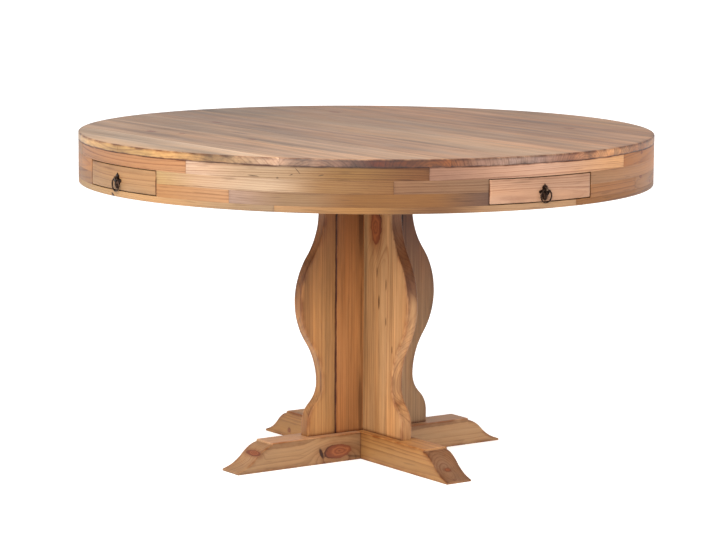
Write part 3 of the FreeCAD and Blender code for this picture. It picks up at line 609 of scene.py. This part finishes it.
# The pedestal: core boards and shaped wings. The panel along X shows its glued joints as V-grooves.
pedestal = {
    "profile": [(169, 63.5), (169, 92), (129, 183), (189, 376), (124, 580), (124, 717)],  # half width, height
    "step": 7 * mm,
    "groove": 1.6,
    "seam": 0.05,           # in place of the groove where the boards were flushed off
    "arris": 4.0,
    "nick": 0.6 * mm,
    "shadeTint": "5a2c12",
    # painted shade under the top, per wing and for the core: the height where it starts and how deep it gets
    "shade": {0: (0.2, 0.95), 90: (0.3, 0.4), 180: (0.3, 0.95), 270: (0.3, 0.34), "core": (0.3, 0.82)},
    "neckStainAndShadeTint": "4f2616",   # the sawn edge drinks more stain, and painted shade darkens it where it leans out under the neck
    # how much of that stain and painted shade each wing gets
    "neck": {0: 0.2, 90: 0.2, 180: 0.5, 270: 0.7},
    "boards": {             # across the face, tint, place of the pith
        "panel_y": ((0, 1, 0), "b28c62", (90, 30)),
        "core_x": ((1, 0, 0), "a67344", (-60, 30)),
        "wing_left": ((1, 0, 0), "9f7547", (60, 34)),
        # wing_right's tint is partly painted shade: darker, as it stands in the key light's shadow
        "wing_right": ((1, 0, 0), "977b5b", (-250, 26)),
    },
}


def ogee(place, start, finish):  # two equal arcs, upright at both ends
    across, rise = finish[0] - start[0], finish[1] - start[1]
    if across == 0:
        return start[0]
    radius = (across ** 2 + rise ** 2) / 4 / abs(across)
    lower = place < (start[1] + finish[1]) / 2
    climbed = place - start[1] if lower else finish[1] - place
    bow = math.copysign(radius - math.sqrt(radius ** 2 - climbed ** 2), across)
    return start[0] + bow if lower else finish[0] - bow


def wingWidth(z):
    for start, finish in zip(pedestal["profile"], pedestal["profile"][1:]):
        if z / mm <= finish[1] + 1e-6:
            return ogee(z / mm, start, finish) * mm
    return pedestal["profile"][-1][0] * mm


def armSpot(turn):  # places points by their reach along an arm, their side and their height
    angle = math.radians(turn)
    outward = Vector((math.cos(angle), math.sin(angle), 0))
    sideways = Vector((-math.sin(angle), math.cos(angle), 0))
    return lambda reach, side, z: outward * reach + sideways * side + Vector((0, 0, z))


coreLow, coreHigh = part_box("pedestal_core_x")
coreHalf, panelHalf = coreHigh.x, coreHigh.y
pedestalLow, pedestalHigh = coreLow.z, coreHigh.z


def uprightStations(ringAt, turn, board):  # stations up a board, eased at both ends
    count = round((pedestalHigh - pedestalLow) / pedestal["step"])
    heights = [pedestalLow + (pedestalHigh - pedestalLow) * step / count for step in range(1, count)]
    heights = [pedestalLow, pedestalLow + 0.6 * mm] + heights + [pedestalHigh - 0.6 * mm, pedestalHigh]
    grooved = board is not boards["panel_y"]
    groove = pedestal["groove" if grooved else "seam"] * mm
    return [ringAt(armSpot(turn), turn, board, grooved, groove, z,
                   0.5 * mm if z in (pedestalLow, pedestalHigh) else 0) for z in heights]


def shaded(tint, z, part):  # painted shade where the top keeps the light away, and a painted shadow where the boards stand on the feet; the core is also darker towards its bottom
    start, deep = pedestal["shade"][part]
    deep *= smooth((z - start) / 0.42)
    if part == "core":
        deep += 0.24 * smooth((0.32 - z) / 0.2)
    # painted shadow in the last few millimetres above the feet
    paintedJointShade = 0.8 * smooth((pedestalLow + 4 * mm - z) / (3 * mm))
    return blend(tint, linear(pedestal["shadeTint"]), deep + (1 - deep) * paintedJointShade)


def wingRing(spot, turn, board, grooved, groove, z, inset):
    width, arris, tint = wingWidth(z), pedestal["arris"] * mm, board["tints"][0]
    steep = smooth((z - 0.37) / 0.05) * smooth((0.66 - z) / 0.06)
    # the outer sawn edge: partly stain, partly painted shade under the neck
    dark = blend(tint, linear(pedestal["neckStainAndShadeTint"]), 0.12 + pedestal["neck"][turn] * steep)
    ring = []
    for reach, side, wear in section((coreHalf + 0.05 * mm, -panelHalf + inset),
                                     (width - inset, panelHalf - inset), (groove, arris, arris, groove)):
        nick = pedestal["nick"] * wear * unevenness(side * 60, z * 45, turn * 0.1) ** 2
        edge = smooth((reach - width + 2.5 * mm) / (2.5 * mm))
        if reach < coreHalf + 9 * mm:
            wear = 3.1 * wear if grooved and wear == 1 else 0
        else:
            reach -= nick
        ring.append((spot(reach, side, z), 0.6 * wear, blend(shaded(tint, z, turn), dark, edge)))
    return ring


def coreRing(spot, turn, board, grooved, groove, z, inset):
    own = shaded(board["tints"][0], z, "core" if grooved else 270)
    return [(spot(reach, side, z), 1.9 * wear if grooved and wear == 1 else 0, own) for reach, side, wear
            in section((-coreHalf, -panelHalf + inset), (coreHalf, panelHalf - inset), (groove,) * 4)]


middle = Vector((0, 0, (pedestalLow + pedestalHigh) / 2))
for name, (across, tint, pith) in pedestal["boards"].items():
    newBoard(name, middle, (0, 0, 1), across, tint, pith)
pedestalPieces = {
    "core_x": (coreRing, 0, "core_x"), "core_y": (coreRing, 90, "panel_y"),
    "wing_right": (wingRing, 0, "wing_right"), "wing_back": (wingRing, 90, "panel_y"),
    "wing_left": (wingRing, 180, "wing_left"), "wing_front": (wingRing, 270, "panel_y"),
}
pedestalKnots = [knotAt("panel_y", (-15, -63, 548), 22, 46, 26, (0.12, -0.1)),
                 knotAt("panel_y", (-15, -146, 152), 6, 9, 20)]
pedestalMarks = [markAt("panel_y", (-15, y, z), wide, long) for y, z, wide, long in (
    (-67.7, 441, 2.2, 16), (-76, 372, 3.4, 22), (-103.6, 415, 2.4, 17), (-104, 330, 2.0, 13),
    (-129, 268, 2.2, 12))]
# long dark bands on core_x beside the front wing: painted shade in the inner corner
pedestalMarks += [markAt("core_x", (x, -15, z), wide, long, 0, dark) for x, z, wide, long, dark in (
    (-24, 600, 9, 170, 0.5), (-22, 330, 5, 120, 0.35), (-23, 120, 7, 90, 0.45))]
pinePedestal = pine("waxedPinePedestal", {
    "ringWidth": 5 * mm, "lateStrength": 0.75, "streaks": 1.6, "mottle": 1.0, "streakWidth": 13 * mm,
    "warmTint": "f6cf98", "flecks": 0.1, "dirtTint": "6b3018", "edgeTint": "a5784f",
}, pedestalKnots, pedestalMarks)
for label, (ringAt, turn, name) in pedestalPieces.items():
    shell = (boards[name], uprightStations(ringAt, turn, boards[name]))
    buildPiece(label, [shell], pinePedestal, "table", [f"pedestal_{label}"])
print("pedestal built")


# The feet: two beams halved over each other, with ogee ends below a small step.
foot = {
    # reach and height in millimetres, then the bow of the curve that leads on, hollow if negative
    "outline": [(277, 63.5, 0), (279, 58.5, 5.1), (322, 31, -3.1), (362, 7.5, 0), (370, 4.5, 0)],
    "arris": 2.4,
    "nick": 0.7 * mm,
    "tints": {"x": "8f765a a6845f", "y": "9e784a 9e723f"},
    "crownTints": {"x": "c9a585", "y": "be925f"},
    "endTints": {"x": "a28363", "y": "836249"},
}


def footTop(reach):
    reach = abs(reach) / mm
    corners = foot["outline"]
    if reach <= corners[0][0]:
        return corners[0][1] * mm
    for start, finish in zip(corners, corners[1:]):
        if reach <= finish[0] + 1e-6:
            share = (reach - start[0]) / (finish[0] - start[0])
            return (start[1] + (finish[1] - start[1]) * share + start[2] * 4 * share * (1 - share)) * mm
    return corners[-1][1] * mm


footEnd, footHalf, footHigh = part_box("foot_beam_x")[1]


def footStations(board, axis, over):
    spot = armSpot({"x": 0, "y": 90}[axis])
    endTint, crownTint = linear(foot["endTints"][axis]), linear(foot["crownTints"][axis])
    places = [footEnd * share for share in (0.2, 0.3, 0.4, 0.5, 0.6, 0.7)]
    places += [footHalf + 0.02 * mm, footHalf + 3 * mm, 270 * mm, 276.4 * mm, 277 * mm, 279 * mm, 279.6 * mm]
    places += [(281 + 2.2 * step) * mm for step in range(40)] + [footEnd - 0.6 * mm, footEnd]
    places = [-place for place in places] + [-footHalf + 0.02 * mm, 0, footHalf - 0.02 * mm] + places
    sill = 0.8 * mm
    stations = []
    for reach in sorted(places):
        middle = abs(reach) < footHalf
        low = footHigh / 2 + 0.05 * mm if middle and over else 0.0
        high = footHigh / 2 - 0.05 * mm if middle and not over else footTop(reach)
        inset = 0.4 * mm if abs(reach) == footEnd else 0
        arris = min(foot["arris"] * mm, (high - low) / 3)
        sloped = abs(reach) > 277.5 * mm
        ring = []
        for side, z, wear in section((-footHalf + inset, low), (footHalf - inset, high - inset),
                                     (sill, sill, arris, arris)):
            nick = foot["nick"] * wear * unevenness(reach * 50, side * 40, z * 30 + 90 * over) ** 2
            side -= math.copysign(nick, side)
            sideTint = blend(*board["tints"], reach / footEnd / 2 + 0.5)
            paintedJointShade = 0.75 * smooth((footHalf + 5 * mm - abs(reach)) / (5 * mm))  # painted shade where the beams meet under the pedestal
            sideTint = blend(sideTint, linear(pedestal["shadeTint"]), paintedJointShade)
            own = sideTint if z < high - arris * 0.6 else endTint if sloped else crownTint
            ring.append((spot(reach, side, z), wear, own))
        stations.append(ring)
    return stations


footShells = {}
for axis, along, pith in (("x", (1, 0, 0), (-30, 50)), ("y", (0, 1, 0), (12, 8))):
    board = newBoard(f"foot_{axis}", (0, 0, 0.032), along, (0, 0, 1), foot["tints"][axis], pith)
    footShells[axis] = (board, footStations(board, axis, axis == "y"))
footKnots = [knotAt("foot_x", (-100, -34, 26), 17, 40, 22, (0.0, 0.16)),
             knotAt("foot_x", (-312, -8, 41), 8, 9), knotAt("foot_y", (-34, 266, 18), 5, 5, 20),
             knotAt("foot_y", (-3, -331, 23), 5, 5, 8)]
footMarks = [markAt("foot_x", (-144, -34, 25), 17, 6, 22, 0.95),
             markAt("foot_x", (-52, -34, 9), 4, 26, -8, 0.5)]
pineFoot = pine("waxedPineFoot", {"ringWidth": 5 * mm, "mottle": 0.6, "edgeTint": "c8a585"},
                footKnots, footMarks)
for label, shell in footShells.items():
    buildPiece(f"foot_{label}", [shell], pineFoot, "table", [f"foot_beam_{label}"])
print("feet built")


# Drawer fronts, sawn to the rim's curve.
drawer = {
    "tints": ["ac8870", "987754", "9a7750", "977249"],
    "pith": [(14, 26), (-24, 34), (20, 40), (-18, 30)],
    "arris": 1.4,
    "lap": 8 * mm,
    "board": 12 * mm,
}
low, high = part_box("drawer_1_face")
faceHalf, faceBack, faceLow, faceHigh = high.x, -high.y, low.z, high.z


def faceStations(seed, spin):
    rabbet = faceHalf - drawer["board"]
    half = [(faceHalf - 0.03 * mm, 1.1 * mm), (faceHalf - 0.4 * mm, 0.35 * mm), (faceHalf - 1.2 * mm, 0),
            (faceHalf - 6 * mm, 0), (rabbet + 0.02 * mm, 0), (rabbet - 0.02 * mm, 0)]
    half += [(x * mm, 0) for x in range(120, 0, -10)]
    places = [(-x, inset) for x, inset in half] + [(0, 0)] + half[::-1]
    stations = []
    for x, inset in places:
        back = faceBack + (drawer["lap"] if abs(x) > rabbet else 0)
        front = math.sqrt(rimRadius ** 2 - x ** 2) - 0.1 * mm - inset
        arris = drawer["arris"] * mm
        ring = []
        for reach, z, wear in section((back, faceLow + inset * 0.6), (front, faceHigh - inset * 0.6),
                                      (0.4 * mm, arris, arris, 0.4 * mm)):
            nick = 0.3 * mm * wear * unevenness(x * 60, z * 60, seed) ** 2
            worn = max(0.3 * wear, 0.9 if inset > 0.3 * mm else 0.0)
            ring.append((spin @ Vector((x, nick - reach, z)), worn, None))
        stations.append(ring)
    return stations


drawerSpins = {number: Matrix.Rotation(math.radians(turn), 3, "Z")  # from the drawer that opens towards -Y
               for number, turn in enumerate((0, -90, 180, 90), 1)}
faceShells = {}
for number, spin in drawerSpins.items():
    tint, pith = drawer["tints"][number - 1], drawer["pith"][number - 1]
    board = newBoard(f"face_{number}", spin @ Vector((0, -rimRadius, (faceLow + faceHigh) / 2)),
                     spin @ Vector((1, 0, 0)), (0, 0, 1), tint, pith, bent=True)
    faceShells[number] = (board, faceStations(number, spin))
faceMarks = [markAt("face_1", (-60, -657.3, 707), 3, 34, dark=0.25)]
pineDrawer = pine("waxedPineDrawer", {"mottle": 0.5, "lateStrength": 0.7, "sway": 60 * mm}, (), faceMarks)
for number, shell in faceShells.items():
    buildPiece(f"front_{number}", [shell], pineDrawer, f"drawer_{number}",
               [f"drawer_{number}_face"])
print("drawer fronts built")


# Inside, the frame, the battens and the boxes are planed pine without stain: pale, dry and dull.
inside = {"tint": "c79c6c", "roughness": 0.62, "lateStrength": 0.5, "mottle": 0.25, "warmTint": "f5e4c8"}
planedPine = {axis: pine(f"planedPine{axis.capitalize()}", dict(inside, axis=axis))
              for axis in ("X", "Y", "either")}
grainAxes = {
    "X": ["frame_rail_front", "frame_rail_back", "mounting_board"],
    "Y": ["frame_rail_left", "frame_rail_right"],
    "either": ["drawer_runners", "drawer_kickers", "drawer_stops"],
}


def dressNode(nodeName, material):
    mesh = nodes[nodeName].data
    if mesh.materials:
        mesh.materials[0] = material
    else:
        mesh.materials.append(material)


for axis, names in grainAxes.items():
    for nodeName in names:
        dressNode(nodeName, planedPine[axis])

# Pine plywood, peeled and sanded: paler still, with wide faint figure.
plywood = pine("sandedPlywood", dict(inside, axis="X", tint="d3b184", ringWidth=14 * mm, lateStrength=0.35))
for number in drawerSpins:
    out, over = ("Y", "X") if number % 2 else ("X", "Y")
    dressNode(f"drawer_{number}_sides", planedPine[out])
    dressNode(f"drawer_{number}_back", planedPine[over])
    dressNode(f"drawer_{number}_bottom", plywood)

# Zinc-plated steel, bright and faintly cloudy.
zinc, tree, shader = newMaterial("zincPlatedSteel", Metallic=1.0)
place = addNode(tree, "TexCoord").outputs["Object"]
clouds = addNode(tree, "TexNoise", {"Vector": place, "Scale": 700.0, "Detail": 3.0})  # 1.4 mm
zincTint = addNode(tree, "ValToRGB", [clouds])
setStops(zincTint, {0: "8f9295", 1: "c6c8c6"})
dull = addNode(tree, "MapRange", {0: clouds, 3: 0.28, 4: 0.5})
setInputs(tree, shader, {"Base Color": zincTint, "Roughness": dull})
for nodeName in ("pedestal_screws", "top_screws", "foot_lag_screws"):
    dressNode(nodeName, zinc)
print("inside dressed")


# Cast brass with a dark antique patina, rubbed brighter on the high places.
def patinatedBrass():
    material, tree, shader = newMaterial("antiquedBrass", Metallic=1.0)
    place = addNode(tree, "TexCoord").outputs["Object"]
    # patches of 4 mm, and casting pits of 0.7 mm
    patina = addNode(tree, "TexNoise", {"Vector": place, "Scale": 260.0, "Detail": 4.0, "Roughness": 0.6})
    pits = addNode(tree, "TexNoise", {"Vector": place, "Scale": 1400.0, "Detail": 2.0})
    high = addNode(tree, "NewGeometry").outputs["Pointiness"]
    worn = addNode(tree, "MapRange", [high, 0.52, 0.66, 0.0, 0.35])
    level = addNode(tree, "Math", [patina, worn], operation="ADD")
    tint = addNode(tree, "ValToRGB", [level])
    setStops(tint, {0.36: "1d1310", 0.6: "35261f", 0.95: "7d6655"})
    dull = addNode(tree, "MapRange", [patina, 0.3, 0.7, 0.3, 0.5])
    bump = addNode(tree, "Bump", {"Strength": 0.3, "Distance": 0.1 * mm, "Height": pits})
    setInputs(tree, shader, {"Base Color": tint, "Roughness": dull, "Normal": bump})
    return material


# Ring pulls: a cast plate with lobes and a domed tongue, and a ring that hangs round the dome.
pull = {
    # right half of the plate upwards from the eye, in millimetres: across, above, radius of the next arc
    "half": [(0, -24, 6.5), (6.5, -17.5, 0), (12, -8, 3.3), (15.3, -2.8, 0), (5, 0.4, 4.2), (4, 8, 0),
             (1.8, 8.8, 2.4)],
    "tip": (0, 11.5),
    "thickness": 1.8,
    "edge": 0.7,
    "dome": (6.2, 9.4, 5.2),    # half width, half height and rise of the oval dome
    "domeDrop": 13.6,
    "bar": 1.75,                # radius of the ring's round bar
    "squareBar": 1.35,          # half the bar that its node is made of
    "collar": 4.4,              # radius of the post's collar
}


def arcPoints(start, finish, radius, steps=6):  # a left-hand arc without its last point
    chord = finish - start
    rise = math.sqrt(max(radius ** 2 - chord.length_squared / 4, 0))
    centre = (start + finish) / 2 + Vector((-chord.y, chord.x)).normalized() * rise
    first = math.atan2(start.y - centre.y, start.x - centre.x)
    last = math.atan2(finish.y - centre.y, finish.x - centre.x)
    last += 2 * math.pi if last < first else 0
    turns = [first + (last - first) * step / steps for step in range(steps)]
    return [centre + radius * Vector((math.cos(turn), math.sin(turn))) for turn in turns]


def plateOutline():
    spots = pull["half"] + [pull["tip"] + (0,)]
    right = []
    for here, following in zip(spots, spots[1:]):
        start, finish = Vector(here[:2]), Vector(following[:2])
        right += arcPoints(start, finish, here[2]) if here[2] else [start]
    left = [Vector((-spot.x, spot.y)) for spot in right[:0:-1]]
    return right + [Vector(pull["tip"])] + left


def plateShells():
    outline = plateOutline()
    count = len(outline)
    inward = []
    for index, spot in enumerate(outline):
        run = (outline[(index + 1) % count] - outline[index - 1]).normalized()
        inward.append(Vector((-run.y, run.x)))
    layers = [(0.0, 0.0), (0.0, pull["thickness"] - pull["edge"]),
              (pull["edge"] * 0.3, pull["thickness"] - pull["edge"] * 0.3), (pull["edge"], pull["thickness"])]
    plate = [[Vector((spot.x + way.x * inset, spot.y + way.y * inset, rise))
              for spot, way in zip(outline, inward)] for inset, rise in layers]
    wide, tall, rise = pull["dome"]
    dome = []
    for step in range(7):
        lean = math.radians(90 * step / 7)
        dome.append([Vector((wide * math.cos(lean) * math.cos(math.radians(15 * spot)),
                             tall * math.cos(lean) * math.sin(math.radians(15 * spot)) - pull["domeDrop"],
                             pull["thickness"] - 0.2 + rise * math.sin(lean))) for spot in range(24)])
    return [plate, dome]


def castPiece(name, shells, toWorld, body, replaced, closed=False):
    rings = [[[toWorld(point) for point in station] for station in stations] for stations in shells]
    mesh, ends = loftMesh(name, rings, closed)
    addPiece(name, mesh, ends, brass, body, replaced)


brass = patinatedBrass()
for number, spin in drawerSpins.items():
    low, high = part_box(f"pull_{number}_ring")
    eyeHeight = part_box(f"pull_{number}_post")[1].z - pull["collar"] * mm
    eyeReach = max(abs(high.x), abs(low.x), abs(high.y), abs(low.y)) - pull["squareBar"] * mm
    ringRadius = eyeHeight - low.z - pull["squareBar"] * mm

    def onFace(point, spin=spin, eyeHeight=eyeHeight):
        return spin @ Vector((point.x * mm, -rimRadius - point.z * mm, eyeHeight + point.y * mm))

    castPiece(f"plate_{number}", plateShells(), onFace, f"drawer_{number}", [f"pull_{number}_plate"])
    ringCentre = eyeHeight - ringRadius / 2
    hoop = []
    for step in range(48):
        turnRound = math.radians(7.5 * step)
        thick = (pull["bar"] - 0.25 * (0.5 + 0.5 * math.cos(turnRound)) ** 3) * mm
        station = []
        for corner in range(10):
            lean = math.radians(36 * corner)
            out = ringRadius / 2 + thick * math.cos(lean)
            station.append(Vector((out * math.sin(turnRound), -eyeReach + thick * math.sin(lean),
                                   ringCentre + out * math.cos(turnRound))))
        hoop.append(station)
    castPiece(f"ring_{number}", [hoop], lambda point, spin=spin: spin @ point, f"ring_{number}",
              [f"pull_{number}_ring"], closed=True)
    dressNode(f"pull_{number}_post", brass)
print("pulls built")


# Floor, light and camera. The floor is matt pale paper without gloss, and hardly mottled.
studio = {
    "floor": ("f4f3f2", "f9f8f7"),
    "floorHalf": 60.0,
    "glow": 0.52,           # the paper is lit from below as well, so that only a breath of shadow is left
    "sky": (0.82, 0.7),     # strength of the studio's light on the viewer's side and beyond the table
    "key": 92,              # watts of the large soft box
    "keySize": 2.2,
    "fill": 0.8,
}
floorMaterial, tree, shader = newMaterial("palePaper", **{
    "Roughness": 0.9, "Emission Color": (1, 1, 1, 1), "Emission Strength": studio["glow"]})
speckle = addNode(tree, "TexNoise", {"Scale": 30.0, "Detail": 2.0})
paperTints = [linear(tint) for tint in studio["floor"]]
paper = addNode(tree, "Mix", {0: speckle, 6: paperTints[0], 7: paperTints[1]}, data_type="RGBA")
setInputs(tree, shader, {"Base Color": paper.outputs[2]})
floorMesh = bpy.data.meshes.new("studioFloor")
reach = studio["floorHalf"]
floorMesh.from_pydata([(-reach, -reach, 0), (reach, -reach, 0), (reach, reach, 0), (-reach, reach, 0)], [],
                      [(0, 1, 2, 3)])
floorMesh.materials.append(floorMaterial)
studioFloor = bpy.data.objects.new("studioFloor", floorMesh)
studioFloor.location.z = -0.5 * mm
scene.collection.objects.link(studioFloor)

world = bpy.data.worlds.new("studioSky")
scene.world = world
world.use_nodes = True
sky = world.node_tree


def addLamp(name, kind, place, power, hexColour, target=(0, 0, 0)):  # a light that looks at its target
    light = bpy.data.lights.new(name, kind)
    light.energy = power
    light.color = linear(hexColour)[:3]
    lamp = bpy.data.objects.new(name, light)
    lamp.location = place
    lamp.rotation_euler = (Vector(place) - Vector(target)).to_track_quat("Z", "Y").to_euler()
    scene.collection.objects.link(lamp)
    return light


view = {"lens": 146.48, "distance": 6.6812, "height": 1.3875, "turn": -35.06, "yaw": -0.1475,
        "pitch": 8.104, "roll": 0.367}
turn = Matrix.Rotation(math.radians(view["turn"]), 4, "Z")
direction = addNode(sky, "TexCoord").outputs["Generated"]
beyond = addNode(sky, "VectorMath", [direction, turn @ Vector((0, 1, 0))], operation="DOT_PRODUCT")
strength = addNode(sky, "MapRange", [beyond.outputs["Value"], -0.7, 0.9, *studio["sky"]])
setInputs(sky, sky.nodes["Background"], {"Color": (1, 1, 1, 1), "Strength": strength})
key = addLamp("softBox", "AREA", turn @ Vector((-1.1, -2.5, 2.0)), studio["key"], "fffaf2", (0, 0, 0.7))
key.shape = "DISK"
key.size = studio["keySize"]
fill = addLamp("fillSun", "SUN", turn @ Vector((1.1, -0.8, 0.8)), studio["fill"], "f6f8ff")
fill.angle = math.radians(80)

cameraData = bpy.data.cameras.new("camera")
cameraData.lens, cameraData.clip_end = view["lens"], 200
cameraData.sensor_width, cameraData.sensor_fit = 36, "HORIZONTAL"
camera = bpy.data.objects.new("camera", cameraData)
camera.matrix_world = (turn @ Matrix.Translation((0, -view["distance"], view["height"]))
                       @ Matrix.Rotation(math.radians(-view["yaw"]), 4, "Z")
                       @ Matrix.Rotation(math.radians(90 - view["pitch"]), 4, "X")
                       @ Matrix.Rotation(math.radians(view["roll"]), 4, "Z"))
scene.collection.objects.link(camera)
scene.camera = camera
scene.view_settings.view_transform = "Standard"
print("studio ready")
